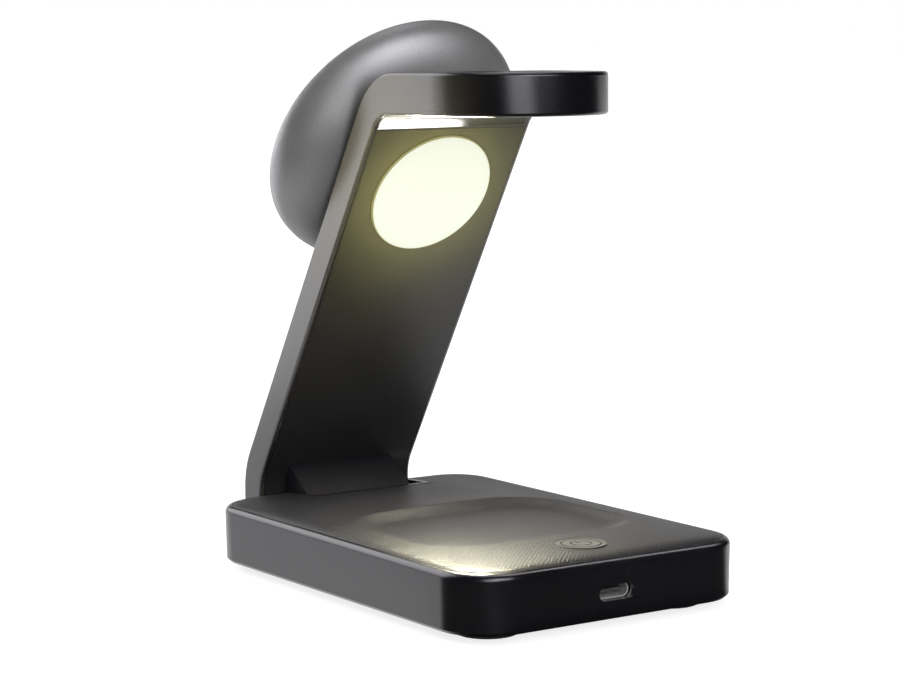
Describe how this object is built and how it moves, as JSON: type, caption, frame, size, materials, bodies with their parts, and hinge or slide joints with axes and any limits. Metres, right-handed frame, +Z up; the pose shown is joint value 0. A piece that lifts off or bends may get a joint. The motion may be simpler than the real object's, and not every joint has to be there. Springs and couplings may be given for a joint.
{
  "type": "three in one wireless charger",
  "caption": "Desk charger with a low base, earbud dish, folding leaning arm, watch shelf, domed phone puck and round night lamp.",
  "frame": {"origin": "middle of the bounding box, on the table under the feet", "axes": "+Z up from the table, -Y towards the end with the button and the cable inlet, +X to the right of one who looks along +Y"},
  "size_m": [0.076, 0.1216, 0.1302],
  "materials": {
    "shell_plastic": "satin dark grey",
    "cover_plastic": "satin near black",
    "mat_rubber": "fine twill texture",
    "foot_rubber": "matt black",
    "bezel_plastic": "satin mid grey",
    "puck_plastic": "satin mid grey",
    "lens_plastic": "lit, warm white",
    "white_plastic": "white",
    "steel": "brushed",
    "copper": "enamelled copper wire",
    "ferrite": "dark grey sheet",
    "board": "green board",
    "tongue_plastic": "satin grey"
  },
  "bodies": {
    "base": {"base_housing": "shell_plastic", "base_bottom": "cover_plastic", "top_mat": "mat_rubber", "foot_pads": "foot_rubber", "base_screws": "steel", "ballast_plate": "steel", "main_board": "board", "usb_shell": "steel", "usb_tongue": "tongue_plastic", "base_coil": "copper", "base_ferrite": "ferrite", "button_bezel": "bezel_plastic", "button_switch": "cover_plastic", "hinge_brackets": "steel"},
    "button": {"power_button": "bezel_plastic"},
    "arm": {"hinge_knuckle": "cover_plastic", "hinge_pin": "steel", "hinge_springs": "steel", "hinge_collars": "steel", "knuckle_screws": "steel", "arm_shell": "shell_plastic", "arm_cover": "cover_plastic", "lamp_lens": "lens_plastic", "lamp_reflector": "white_plastic", "lamp_board": "white_plastic", "lamp_leds": "lens_plastic", "watch_pad": "cover_plastic", "watch_coil": "copper", "watch_magnet": "steel", "puck_shell": "puck_plastic", "puck_face": "cover_plastic", "puck_magnets": "steel", "puck_coil": "copper", "puck_ferrite": "ferrite", "puck_nut": "steel"}
  },
  "joints": [
    {"name": "button_press", "type": "slide", "parent": "base", "child": "button", "axis": [0, 0, -1], "range_m": [0, 0.0004], "stiffness_N_per_m": 300},
    {"name": "arm_fold", "type": "hinge", "parent": "base", "child": "arm", "pos_m": [0, 0.04387, 0.011], "axis": [1, 0, 0], "range_deg": [0, 50]}
  ]
}
